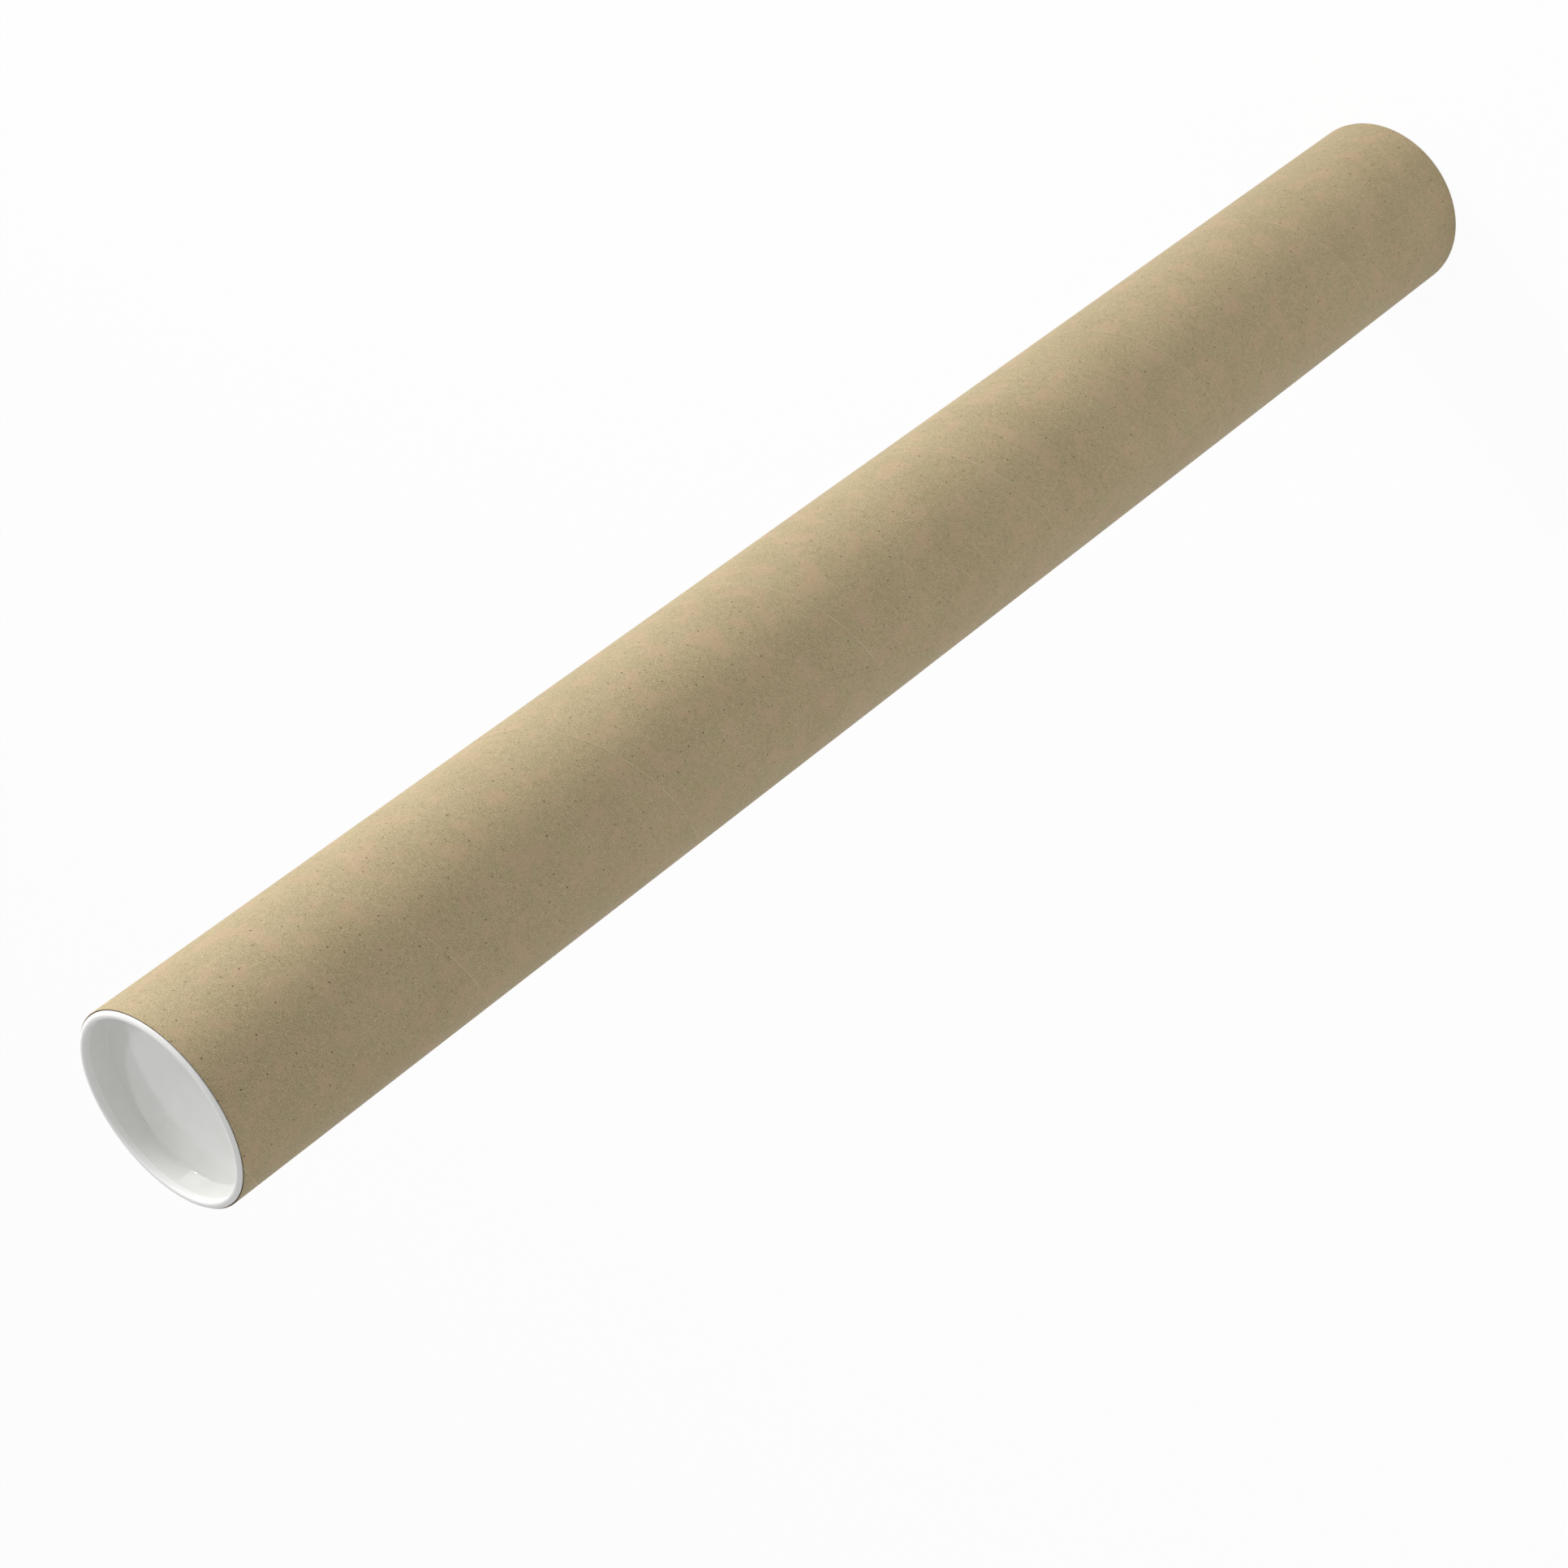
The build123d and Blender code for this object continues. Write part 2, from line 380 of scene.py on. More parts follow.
class Shader:
    """The nodes of a material or of the world, made by one method and joined by expressions."""

    def __init__(self, owner):
        owner.use_nodes = True
        self.owner = owner
        self.tree = owner.node_tree
        self.tree.nodes.clear()

    def node(self, kind, settings=None, sockets=None):
        """A node of any kind: its settings first, then the values or links of its sockets."""
        node = self.tree.nodes.new(kind)
        for name, value in (settings or {}).items():
            setattr(node, name, value)
        for name, value in (sockets or {}).items():
            if isinstance(value, Value):
                self.tree.links.new(value.socket, node.inputs[name])
            else:
                node.inputs[name].default_value = value
        return node

    def outputs(self, node, *names):
        """Some of a node's outputs."""
        return [Value(self, node.outputs[name]) for name in names]

    def add(self, kind, settings=None, sockets=None, output=0):
        """One output of a new node."""
        return Value(self, self.node(kind, settings, sockets).outputs[output])

    def maths(self, operation, *values):
        """A number worked out from numbers."""
        return self.add("ShaderNodeMath", {"operation": operation}, dict(enumerate(values)))

    def vector(self, x, y, z=0.0):
        """A vector from three numbers."""
        return self.add("ShaderNodeCombineXYZ", sockets={"X": x, "Y": y, "Z": z})

    def parts(self, vector):
        """The three numbers of a vector."""
        split = self.node("ShaderNodeSeparateXYZ", sockets={"Vector": vector})
        return self.outputs(split, "X", "Y", "Z")

    def vector_maths(self, operation, first, second):
        """A vector worked out from two vectors."""
        return self.add("ShaderNodeVectorMath", {"operation": operation}, {0: first, 1: second})

    def mix(self, factor, first, second):
        """A colour between two colours."""
        factor_socket, first_socket, second_socket, colour_output = 0, 6, 7, 2
        return self.add(
            "ShaderNodeMix",
            {"data_type": "RGBA"},
            {factor_socket: factor, first_socket: first, second_socket: second},
            colour_output,
        )

    def tinted(self, base, mask, tint):
        """A colour with a tint from the settings over it, as strong as the mask."""
        return self.mix(mask, base, with_alpha(tint))

    def cloud(self, place, scale, detail=2.0, roughness=0.5, shift=None):
        """Smooth noise from 0 to 1, with that many humps to the unit of place."""
        if shift is not None:
            place = self.vector_maths("ADD", place, shift)
        return self.add(
            "ShaderNodeTexNoise",
            sockets={"Vector": place, "Scale": scale, "Detail": detail, "Roughness": roughness},
        )

    def scatter(self, place, cell, shift):
        """The nearest point of a scattered pattern: its random numbers and the way from it."""
        moved = self.vector_maths("ADD", place, shift)
        nearest = self.node(
            "ShaderNodeTexVoronoi",
            {"voronoi_dimensions": "2D"},
            {"Vector": moved, "Scale": 1 / cell},
        )
        tint, centre = self.outputs(nearest, "Color", "Position")
        return self.parts(tint), self.parts(self.vector_maths("SUBTRACT", moved, centre))

    def bump(self, height, distance, strength):
        """A surface normal from a height between 0 and 1, where 1 stands distance high."""
        return self.add(
            "ShaderNodeBump", sockets={"Height": height, "Distance": distance, "Strength": strength}
        )

    def finish(self, surface, output="ShaderNodeOutputMaterial"):
        """Sends a surface to the output and returns the material or world that it belongs to."""
        self.node(output, sockets={"Surface": surface})
        return self.owner


def new_shader(name):
    """The shader of a new material, empty as yet."""
    return Shader(bpy.data.materials.new(name))


def with_alpha(rgb):
    """A colour socket's four numbers from a property's three."""
    return (*rgb, 1.0)


def millimetre_place(shader):
    """The three coordinates of a surface point in the object's own frame, in millimetres."""
    place = shader.add("ShaderNodeTexCoord", output="Object")
    return [part * (1 / MM) for part in shader.parts(place)]


def flat_distance(shader, x, y):
    """How far a point lies from the origin of two coordinates."""
    return shader.maths("SQRT", x * x + y * y)


def blend(first, second, share):
    """Two noises as one, of which the second makes up the share."""
    return first * (1 - share) + second * share


def seam_lead(settings):
    """The rise of the seam in one turn and its slope as an angle."""
    girth = FULL_TURN * TUBE_RADIUS
    pitch = settings.ply_width * girth / math.sqrt(girth**2 - settings.ply_width**2)
    return pitch, math.atan2(pitch, girth)


def strip_place(shader, settings):
    """A point's place on the unrolled strip, in millimetres along it and across it."""
    pitch, slope = seam_lead(settings)
    x, y, z = millimetre_place(shader)
    turn = shader.maths("ARCTAN2", y, x) / FULL_TURN
    start = (TUBE_BASE + settings.seam_height) / MM
    plies = (z - start) / (pitch / MM) - turn + settings.seam_angle / FULL_TURN
    whole = plies.floor()
    across = (plies - whole) * (settings.ply_width / MM)
    unrolled = (turn + whole) * (FULL_TURN * TUBE_RADIUS / MM)
    along = unrolled * math.cos(slope) + z * math.sin(slope)
    return along, across


def fibres(shader, place, cell, reach, width, bend, share, shift):
    """A mask of short curved fibres, at most one in each cell of a scattered pattern."""
    (turn, pick, size), (x, y, _) = shader.scatter(place, cell, shift)
    heading = turn * FULL_TURN
    cosine = shader.maths("COSINE", heading)
    sine = shader.maths("SINE", heading)
    forward = x * cosine + y * sine
    aside = y * cosine - x * sine + forward * forward * size.centred() * bend
    body = 1 - (abs(aside) * (1 / width)).clamped()
    half_length = size.between(SHORTEST_FIBRE, 1) * reach
    ends = (half_length - abs(forward)).from_to(0.0, FIBRE_FADE * reach)
    return body * ends * (pick < share)


def specks(shader, place, cell, radius, share, shift):
    """A mask of small specks, at most one in each cell of a scattered pattern."""
    (pick, size, _), (x, y, _) = shader.scatter(place, cell, shift)
    away = flat_distance(shader, x, y * SPECK_FLATNESS)
    body = 1 - away.from_to(SPECK_CORE * radius, radius)
    return body * size.between(WEAKEST_SPECK, 1) * (pick < share)


def kraft_colour(shader, settings, place, tone):
    """The board's colour: cloudy pulp, fibres and specks. Returns it with a height mask."""
    grain = shader.cloud(place, **GRAIN)
    mottle = shader.cloud(place, **MOTTLE)
    drift = shader.cloud(place, **DRIFT)
    warmth = shader.cloud(place, **WARMTH).from_to(*WARM_RANGE)
    coolness = shader.cloud(place, **COOLNESS).from_to(*COOL_RANGE)
    dark = fibres(shader, place, **DARK_FIBRES)
    light = fibres(shader, place, **LIGHT_FIBRES)
    scratch = fibres(shader, place, **SCRATCHES)
    pale_speck = specks(shader, place, **PALE_SPECKS)
    dark_speck = specks(shader, place, **DARK_SPECKS)
    bark_speck = specks(shader, place, **BARK_SPECKS)
    pulp = tone + grain.centred() * settings.grain_contrast
    pulp = pulp + mottle.centred() * settings.mottle_contrast
    pulp = pulp + drift.centred() * settings.drift_contrast
    board = shader.mix(pulp.clamped(), with_alpha(settings.deep), with_alpha(settings.pale))
    light_marks = light * settings.light_fibre_strength
    dark_marks = dark_speck * settings.dark_speck_strength
    layers = (
        (warmth * settings.warm_strength, settings.warm),
        (coolness * settings.cool_strength, settings.cool),
        (dark * settings.dark_fibre_strength, settings.dark_fibre),
        (light_marks.most(scratch * settings.scratch_strength), settings.light_fibre),
        (pale_speck * settings.pale_speck_strength, settings.light_fibre),
        (dark_marks.most(bark_speck * settings.bark_speck_strength), settings.speck),
    )
    for mask, tint in layers:
        board = shader.tinted(board, mask, tint)
    height = grain * GRAIN_HEIGHT + mottle * MOTTLE_HEIGHT + light * LIGHT_FIBRE_HEIGHT
    height = height + scratch * SCRATCH_HEIGHT - dark * DARK_FIBRE_DEPTH
    return board, height


def board_material(shader, settings, board, height, roughness):
    """A matte paper surface with a slight calendered sheen."""
    surface = shader.add(
        "ShaderNodeBsdfPrincipled",
        sockets={
            "Base Color": board,
            "Roughness": roughness,
            "Specular IOR Level": settings.gloss,
            "Normal": shader.bump(height, settings.relief, settings.relief_strength),
        },
    )
    return shader.finish(surface)


def outer_board_material(settings):
    """The tube's outside: the last ply with its seam."""
    shader = new_shader("kraft_outer_ply")
    along, across = strip_place(shader, settings)
    place = shader.vector(along, across)
    board, height = kraft_colour(shader, settings, place, OUTER_TONE)
    line = shader.vector(along, 0.0)
    breaks = shader.cloud(line, **SEAM_BREAK).from_to(*SEAM_BREAK_RANGE)
    fades = shader.cloud(line, **SEAM_FADE).from_to(*SEAM_FADE_RANGE)
    seam_half = settings.seam_width / MM / 2
    from_seam = across.least(settings.ply_width / MM - across)
    seam_line = 1 - from_seam.from_to(*(edge * seam_half for edge in SEAM_LINE))
    seam = seam_line * (breaks * fades).between(SEAM_FAINTEST, 1)
    board = shader.tinted(board, seam, settings.seam_tone)
    roughness = shader.cloud(place, **SHEEN).between(*OUTER_ROUGHNESS)
    return board_material(shader, settings, board, height, roughness)


def bore_material(settings):
    """The tube's inside: the first ply, plain and a little darker."""
    shader = new_shader("kraft_inner_ply")
    along, across = strip_place(shader, settings)
    board, height = kraft_colour(shader, settings, shader.vector(across, along), BORE_TONE)
    return board_material(shader, settings, board, height, height.between(*BORE_ROUGHNESS))


def cut_end_material(settings):
    """The sawn ends: fine layers round the axis, with a slight fuzz, coloured near black as painted
    shade for the shadow under the plugs' flanges.
    """
    shader = new_shader("kraft_cut_end")
    x, y, z = millimetre_place(shader)
    from_axis = flat_distance(shader, x, y)
    layers = shader.cloud(shader.vector(from_axis, 0.0), **LAYERS)
    fuzz = shader.cloud(shader.vector(x, y, z), **FUZZ)
    tone = blend(layers, fuzz, FUZZ_SHARE).from_to(*CLOUD_RANGE)
    # Painted shade: the cut ends take the two near-black shade colours
    board = shader.mix(tone, with_alpha(settings.cut_end_deeper_painted_shade), with_alpha(settings.cut_end_painted_shade))
    return board_material(shader, settings, board, fuzz, fuzz.between(*CUT_END_ROUGHNESS))


def plastic_material(settings):
    """Moulded white polyethylene: satin, with faint flow clouds, the mould's fine texture and a
    lighter rim that is painted light.
    """
    shader = new_shader("white_polyethylene")
    x, y, z = millimetre_place(shader)
    place = shader.vector(x, y, z)
    flow = shader.cloud(place, **FLOW).from_to(*CLOUD_RANGE)
    texture = shader.cloud(place, **TEXTURE)
    wave = shader.cloud(place, **WAVE)
    # The rim is what lies beyond the mouth's step, at either end of the tube. It is painted lighter
    # than the rest of the plastic, as painted light for the extra light that the flange and mouth
    # band catch
    tube_middle = (TUBE_BASE + TUBE_TOP) / 2 / MM
    rim_start = (TUBE_TOP - TUBE_BASE) / 2 / MM - settings.mouth_depth / MM
    painted_lit_rim = abs(z - tube_middle) > rim_start
    tone = shader.mix(flow, with_alpha(settings.plastic), with_alpha(settings.shade))
    # Painted light: the rim takes the lighter rim colour
    tone = shader.tinted(tone, painted_lit_rim, settings.painted_lit_rim)
    relief = blend(wave, texture, TEXTURE_SHARE)
    surface = shader.add(
        "ShaderNodeBsdfPrincipled",
        sockets={
            "Base Color": tone,
            "Roughness": texture.between(*PLASTIC_ROUGHNESS) + painted_lit_rim * RIM_ROUGHNESS,
            "IOR": settings.refraction,
            "Subsurface Weight": settings.glow_share,
            "Subsurface Radius": settings.glow_tint,
            "Subsurface Scale": settings.glow_depth,
            "Normal": shader.bump(relief, settings.relief, settings.relief_strength),
        },
    )
    return shader.finish(surface)


def new_piece(name, mesh, materials):
    """An object in the scene with its materials."""
    piece = bpy.data.objects.new(name, mesh)
    for material in materials:
        mesh.materials.append(material)
    bpy.context.scene.collection.objects.link(piece)
    return piece


def add_ring(mesh, radius, height):
    """The vertices of one level circle, from the right-hand side round."""
    corners = []
    for index in range(COLUMNS):
        turn = FULL_TURN * index / COLUMNS
        place = (radius * math.cos(turn), radius * math.sin(turn), height)
        corners.append(mesh.verts.new(place))
    return corners


def add_band(mesh, low, high, material_index):
    """Four-sided faces between two closed rings of vertices."""
    for index, corner in enumerate(low):
        after = (index + 1) % len(low)
        face = mesh.faces.new((corner, low[after], high[after], high[index]))
        face.material_index = material_index


def finished_mesh(name, mesh, crease):
    """The mesh's data, with its faces smooth and turned outwards and its creases sharp."""
    bmesh.ops.recalc_face_normals(mesh, faces=mesh.faces)
    for face in mesh.faces:
        face.smooth = True
    data = bpy.data.meshes.new(name)
    mesh.to_mesh(data)
    mesh.free()
    data.set_sharp_from_angle(angle=crease)
    return data


def seam_rows(pitch, slope, settings):
    """Heights across one turn of the strip, close together at the seam, from 0 to the pitch."""
    half = settings.seam_width / 2 / math.cos(slope)
    near = [share * half for share in SEAM_ROWS]
    wide = pitch - 2 * near[-1]
    count = math.ceil(wide / ROW_SPACING)
    middle = [near[-1] + wide * step / count for step in range(1, count)]
    return near + middle + [pitch - height for height in reversed(near)]


def seam_dip(height, pitch, slope, settings):
    """How deep the seam groove is at a height above the strip's lower edge."""
    half = settings.seam_width / 2
    away = min(height, pitch - height) * math.cos(slope)
    return settings.seam_depth * max(0.0, 1 - away / half)


def outer_radius(place, dip, end_fade, settings):
    """The radius of the outer face: full size less the seam's groove and a slow ripple."""
    hump = noise.noise(place / settings.ripple_length)
    return TUBE_RADIUS - end_fade * (dip + settings.ripple * (1 - hump) / 2)


def add_outer_face(mesh, settings):
    """The outside of the tube as one wound strip whose rows follow the seam."""
    pitch, slope = seam_lead(settings)
    rows = seam_rows(pitch, slope, settings)
    dips = [seam_dip(row, pitch, slope, settings) for row in rows]
    low = TUBE_BASE + settings.edge_round
    high = TUBE_TOP - settings.edge_round
    seam_start = TUBE_BASE + settings.seam_height % pitch - 2 * pitch
    turns = math.ceil((high - seam_start) / pitch)
    first = round(settings.seam_angle / FULL_TURN * COLUMNS)
    strip = []
    for column in range(first, first + turns * COLUMNS + 1):
        turn = FULL_TURN * column / COLUMNS
        base = seam_start + pitch * (column - first) / COLUMNS
        direction = Vector((math.cos(turn), math.sin(turn), 0.0))
        points = []
        for row, dip in zip(rows, dips):
            height = min(max(base + row, low), high)
            fade = min(1.0, min(height - low, high - height) / END_FADE)
            place = direction * TUBE_RADIUS + Vector((0.0, 0.0, height))
            radius = outer_radius(place, dip, fade, settings)
            points.append(mesh.verts.new(direction * radius + Vector((0.0, 0.0, height))))
        strip.append(points)
    for here, after in zip(strip, strip[1:]):
        for row in range(len(rows) - 1):
            corners = (here[row], after[row], after[row + 1], here[row + 1])
            heights = [corner.co.z for corner in corners]
            if max(heights) > min(heights):
                mesh.faces.new(corners)


def cut_end_profile(settings):
    """Radius and depth across a cut end: its rounded edge, then a fine line between the layers."""
    points = []
    for step in range(EDGE_STEPS + 1):
        turn = math.pi / 2 * step / EDGE_STEPS
        inset = settings.edge_round * (1 - math.cos(turn))
        points.append((TUBE_RADIUS - inset, settings.edge_round * (1 - math.sin(turn))))
    layers = round((TUBE_RADIUS - BORE_RADIUS) / settings.ply_thickness)
    for layer in range(1, layers):
        radius = TUBE_RADIUS - layer * settings.ply_thickness
        points.append((radius + settings.ply_line, 0.0))
        points.append((radius, settings.ply_line))
        points.append((radius - settings.ply_line, 0.0))
    points.append((BORE_RADIUS + settings.edge_bevel, 0.0))
    points.append((BORE_RADIUS, settings.edge_bevel))
    return points


def build_tube(settings):
    """The wound tube: its outer face, two cut ends and its bore, as one closed mesh."""
    outer, bore, cut = 0, 1, 2
    mesh = bmesh.new()
    add_outer_face(mesh, settings)
    profile = cut_end_profile(settings)
    top = [add_ring(mesh, radius, TUBE_TOP - depth) for radius, depth in profile]
    bottom = [add_ring(mesh, radius, TUBE_BASE + depth) for radius, depth in profile]
    for index in range(len(profile) - 1):
        surface = outer if index < EDGE_STEPS else cut
        add_band(mesh, top[index], top[index + 1], surface)
        add_band(mesh, bottom[index + 1], bottom[index], surface)
    bore_low = TUBE_BASE + settings.edge_bevel
    bore_length = TUBE_TOP - TUBE_BASE - 2 * settings.edge_bevel
    levels = [bottom[-1]]
    for step in range(1, BORE_ROWS):
        levels.append(add_ring(mesh, BORE_RADIUS, bore_low + bore_length * step / BORE_ROWS))
    levels.append(top[-1])
    for low, high in zip(levels, levels[1:]):
        add_band(mesh, high, low, bore)
    bmesh.ops.remove_doubles(mesh, verts=mesh.verts, dist=SAME_POINT)
    bmesh.ops.dissolve_degenerate(mesh, edges=mesh.edges, dist=NO_EDGE)
    materials = [
        outer_board_material(settings),
        bore_material(settings),
        cut_end_material(settings),
    ]
    return new_piece("wound_tube", finished_mesh("wound_tube", mesh, BOARD_CREASE), materials)


def skirt_radius(depth, settings):
    """The radius of the tapered skirt at a depth below the flange."""
    root = BORE_RADIUS - settings.skirt_clearance
    return root - settings.skirt_taper * depth / SKIRT_LENGTH


def bead_corners(depth, settings):
    """The three corners of one sealing bead."""
    back_start = depth - settings.bead_back
    lead_end = depth + settings.bead_lead
    return [
        (skirt_radius(back_start, settings), -back_start, 0.0),
        (BORE_RADIUS - settings.bead_clearance, -depth, 0.0),
        (skirt_radius(lead_end, settings), -lead_end, 0.0),
    ]


def plug_corners(settings):
    """Corners of half the plug's section, from the floor's middle round to its underside."""
    floor_level = settings.floor_thickness - SKIRT_LENGTH
    skirt_end = skirt_radius(SKIRT_LENGTH, settings)
    mouth_top = BORE_RADIUS - settings.mouth_wall
    mouth_bottom = mouth_top - settings.mouth_flare
    wall_top = mouth_bottom + settings.mouth_step
    wall_bottom = skirt_end - settings.skirt_wall
    step_level = -settings.mouth_depth - settings.mouth_step
    lead_in_start = SKIRT_LENGTH - settings.lead_in_length
    return [
        (0.0, floor_level, 0.0),
        (wall_bottom, floor_level, settings.floor_fillet),
        (wall_top, step_level, 0.0),
        (mouth_bottom, -settings.mouth_depth, 0.0),
        (mouth_top, FLANGE_THICKNESS, settings.lip_radius),
        (FLANGE_RADIUS - settings.slope_width, FLANGE_THICKNESS, settings.slope_radius),
        (FLANGE_RADIUS, settings.edge_thickness, settings.flange_edge_radius),
        (FLANGE_RADIUS, 0.0, 0.0),
        (skirt_radius(0.0, settings), 0.0, 0.0),
        *bead_corners(settings.first_bead, settings),
        *bead_corners(settings.first_bead + settings.bead_pitch, settings),
        (skirt_radius(lead_in_start, settings), -lead_in_start, 0.0),
        (skirt_end - settings.lead_in_depth, -SKIRT_LENGTH, 0.0),
        (0.0, -SKIRT_LENGTH, 0.0),
    ]


def rounded_points(corners):
    """An outline's points, its rounded corners as arcs with a support point on each side."""
    points = []
    for index, (x, y, radius) in enumerate(corners):
        corner = Vector((x, y))
        if radius == 0.0:
            points.append(corner)
            continue
        back = (Vector(corners[index - 1][:2]) - corner).normalized()
        ahead = (Vector(corners[index + 1][:2]) - corner).normalized()
        half = back.angle(ahead) / 2
        reach = radius / math.tan(half)
        centre = corner + (back + ahead).normalized() * (radius / math.sin(half))
        start = corner + back * reach - centre
        sweep = math.pi - 2 * half
        side = 1.0 if start.x * ahead.y - start.y * ahead.x > 0 else -1.0
        points.append(corner + back * (reach + SUPPORT_GAP))
        for step in range(ARC_STEPS + 1):
            turn = Matrix.Rotation(side * sweep * step / ARC_STEPS, 2)
            points.append(centre + turn @ start)
        points.append(corner + ahead * (reach + SUPPORT_GAP))
    return points


def turned_mesh(points):
    """A closed solid turned about the upright axis from the points of half its section."""
    mesh = bmesh.new()
    middle_start = mesh.verts.new((0.0, 0.0, points[0].y))
    middle_end = mesh.verts.new((0.0, 0.0, points[-1].y))
    rings = [add_ring(mesh, point.x, point.y) for point in points[1:-1]]
    for here, after in zip(rings, rings[1:]):
        add_band(mesh, here, after, 0)
    for index in range(COLUMNS):
        after = (index + 1) % COLUMNS
        mesh.faces.new((middle_start, rings[0][index], rings[0][after]))
        mesh.faces.new((middle_end, rings[-1][after], rings[-1][index]))
    return mesh


def gate_points(floor_level, settings):
    """Extra points across the cup's floor, so that the gate mark has some to raise."""
    inner = settings.gate_offset - settings.gate_radius
    step_width = 2 * settings.gate_radius / GATE_STEPS
    return [Vector((inner + step_width * step, floor_level)) for step in range(GATE_STEPS + 1)]


def raise_gate_mark(mesh, floor_level, settings):
    """Lifts the floor's points under the gate mark into a low dome."""
    centre = Vector((math.cos(settings.gate_angle), math.sin(settings.gate_angle)))
    centre *= settings.gate_offset
    for vertex in mesh.verts:
        away = (vertex.co.xy - centre).length / settings.gate_radius
        if away < 1 and abs(vertex.co.z - floor_level) < SAME_LEVEL:
            vertex.co.z += settings.gate_height * (1 - away * away)


def build_plug(name, settings, material):
    """One moulded plug with its seat at height zero and its flange up."""
    corners = plug_corners(settings)
    floor_level = corners[0][1]
    points = rounded_points(corners)
    mesh = turned_mesh(points[:1] + gate_points(floor_level, settings) + points[1:])
    raise_gate_mark(mesh, floor_level, settings)
    return new_piece(name, finished_mesh(name, mesh, PLASTIC_CREASE), [material])


class MAILINGTUBE_OT_board(bpy.types.Operator):
    """Build the wound kraft tube and let it stand for the construction model's tube"""

    bl_idname = "mailing_tube.board"
    bl_label = "Wound tube"

    def execute(self, context):
        piece = build_tube(context.scene.mailing_tube_board)
        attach(piece, "tube")
        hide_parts("tube")
        return {"FINISHED"}


class MAILINGTUBE_OT_plugs(bpy.types.Operator):
    """Build both moulded plugs and let them stand for the construction model's plugs"""

    bl_idname = "mailing_tube.plugs"
    bl_label = "End plugs"

    def execute(self, context):
        settings = context.scene.mailing_tube_plugs
        material = plastic_material(settings)
        places = {
            "upper_plug": Matrix.Translation((0.0, 0.0, TUBE_TOP)),
            "lower_plug": Matrix.Translation((0.0, 0.0, TUBE_BASE))
            @ Matrix.Rotation(math.pi, 4, "X"),
        }
        for node, place in places.items():
            piece = build_plug(f"moulded_{node}", settings, material)
            piece.data.transform(place)
            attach(piece, node)
            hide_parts(node)
        return {"FINISHED"}


def seen_directly(shader):
    """1 for rays that show the stage itself, in the picture or in gloss, and 0 for others."""
    path = shader.node("ShaderNodeLightPath")
    names = ("Is Camera Ray", "Is Glossy Ray", "Is Transmission Ray")
    camera, glossy, through = shader.outputs(path, *names)
    return camera.most(glossy).most(through)


def build_floor(settings):
    """A wide pale floor that reads as white and keeps the tube's soft shadow."""
    reach = settings.floor_reach
    corners = ((-reach, -reach), (reach, -reach), (reach, reach), (-reach, reach))
    mesh = bmesh.new()
    mesh.faces.new([mesh.verts.new((x, y, -settings.floor_drop)) for x, y in corners])
    data = bpy.data.meshes.new("floor")
    mesh.to_mesh(data)
    mesh.free()
    shader = new_shader("pale_floor")
    tone = with_alpha(settings.floor_colour)
    pale = shader.add("ShaderNodeBsdfDiffuse", sockets={"Color": tone})
    white = shader.add("ShaderNodeEmission", sockets={"Color": WHITE})
    seen = seen_directly(shader) * settings.floor_share
    surface = shader.add("ShaderNodeMixShader", sockets={0: seen, 1: pale, 2: white})
    floor = new_piece("floor", data, [shader.finish(surface)])


def build_sky(settings):
    """Soft light from all round, and plain white wherever the sky itself is seen."""
    world = bpy.data.worlds.new("studio")
    bpy.context.scene.world = world
    shader = Shader(world)
    strength = seen_directly(shader).most(settings.sky_level)
    sky = shader.add("ShaderNodeBackground", sockets={"Color": WHITE, "Strength": strength})
    shader.finish(sky, "ShaderNodeOutputWorld")


def add_lamp(kind, settings):
    """A square soft lamp that points at the tube's axis.

    A small lamp of P watts gives a surface that faces it at a distance d a light of
    P / (pi d^2), and a surface whose light is pi renders as its own colour. That is
    what a level of 1 gives.
    """
    side, rise, size, level, distance, height = (
        getattr(settings, f"{kind}_{value}")
        for value in ("side", "rise", "size", "level", "distance", "height")
    )
    lamp = bpy.data.lights.new(f"{kind}_lamp", "AREA")
    lamp.shape = "SQUARE"
    lamp.size = size
    lamp.energy = level * math.pi**2 * distance**2
    target = Vector((0.0, 0.0, height))
    direction = Vector(
        (math.cos(side) * math.cos(rise), math.sin(side) * math.cos(rise), math.sin(rise))
    )
    piece = bpy.data.objects.new(f"{kind}_lamp", lamp)
    piece.location = target + direction * distance
    piece.rotation_mode = "QUATERNION"
    piece.rotation_quaternion = direction.to_track_quat("Z", "Y")
    bpy.context.scene.collection.objects.link(piece)


def add_camera(settings):
    """The camera at the photograph's viewing angle."""
    data = bpy.data.cameras.new("camera")
    data.lens = settings.camera_lens
    data.sensor_width = settings.camera_sensor
    data.clip_start = settings.camera_nearest
    data.clip_end = settings.camera_farthest
    camera = bpy.data.objects.new("camera", data)
    level = math.pi / 2
    turn = Matrix.Rotation(-settings.camera_turn, 4, "Z")
    tilt = Matrix.Rotation(level - settings.camera_tilt, 4, "X")
    roll = Matrix.Rotation(-settings.camera_roll, 4, "Z")
    place = Matrix.Translation((0.0, -settings.camera_back, settings.camera_height))
    camera.matrix_world = place @ turn @ tilt @ roll
    bpy.context.scene.collection.objects.link(camera)
    bpy.context.scene.camera = camera


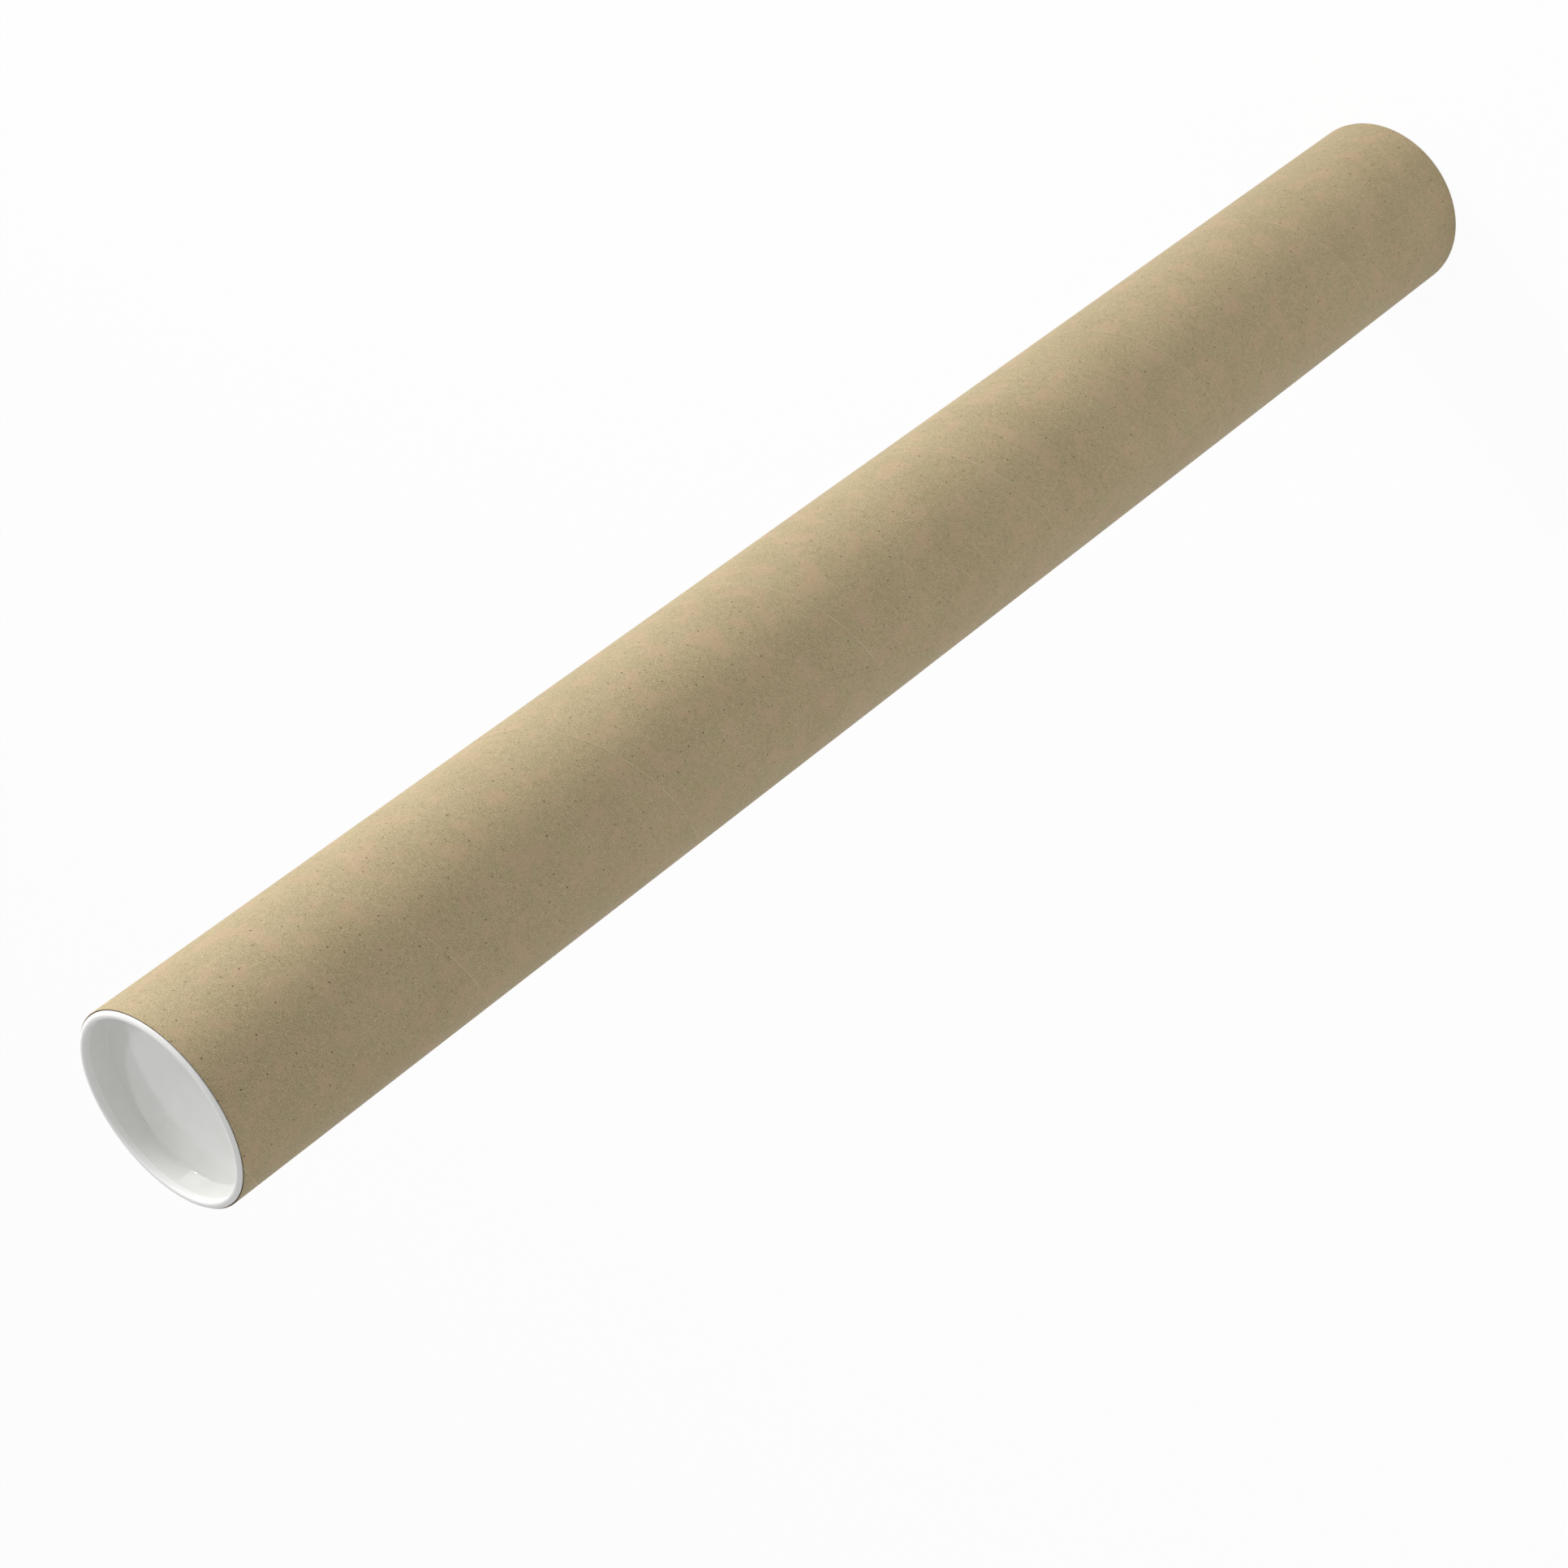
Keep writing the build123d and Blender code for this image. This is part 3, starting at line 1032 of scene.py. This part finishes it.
class MAILINGTUBE_OT_stage(bpy.types.Operator):
    """Build the pale floor, the soft lamps and the camera"""

    bl_idname = "mailing_tube.stage"
    bl_label = "Stage"

    def execute(self, context):
        settings = context.scene.mailing_tube_stage
        context.scene.view_settings.view_transform = "Standard"
        build_floor(settings)
        build_sky(settings)
        for kind in ("key", "top", "fill"):
            add_lamp(kind, settings)
        add_camera(settings)
        return {"FINISHED"}


class MAILINGTUBE_PT_panel(bpy.types.Panel):
    """Lists the steps that dress the tube, with their settings"""

    bl_idname = "MAILINGTUBE_PT_panel"
    bl_label = "Mailing tube"
    bl_space_type = "VIEW_3D"
    bl_region_type = "UI"
    bl_category = "Mailing tube"

    def draw(self, context):
        steps = (
            (MAILINGTUBE_OT_board, context.scene.mailing_tube_board),
            (MAILINGTUBE_OT_plugs, context.scene.mailing_tube_plugs),
            (MAILINGTUBE_OT_stage, context.scene.mailing_tube_stage),
        )
        for operator, settings in steps:
            box = self.layout.box()
            box.operator(operator.bl_idname)
            for name in settings.bl_rna.properties.keys():
                if name not in ("rna_type", "name"):
                    box.prop(settings, name)


CLASSES = (
    BoardSettings,
    PlugSettings,
    StageSettings,
    MAILINGTUBE_OT_board,
    MAILINGTUBE_OT_plugs,
    MAILINGTUBE_OT_stage,
    MAILINGTUBE_PT_panel,
)


def register():
    for each in CLASSES:
        bpy.utils.register_class(each)
    bpy.types.Scene.mailing_tube_board = bpy.props.PointerProperty(type=BoardSettings)
    bpy.types.Scene.mailing_tube_plugs = bpy.props.PointerProperty(type=PlugSettings)
    bpy.types.Scene.mailing_tube_stage = bpy.props.PointerProperty(type=StageSettings)


def unregister():
    del bpy.types.Scene.mailing_tube_stage
    del bpy.types.Scene.mailing_tube_plugs
    del bpy.types.Scene.mailing_tube_board
    for each in reversed(CLASSES):
        bpy.utils.unregister_class(each)


def main():
    """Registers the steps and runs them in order."""
    register()
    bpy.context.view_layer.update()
    bpy.ops.mailing_tube.board()
    bpy.ops.mailing_tube.plugs()
    bpy.ops.mailing_tube.stage()


if __name__ == "__main__":
    main()
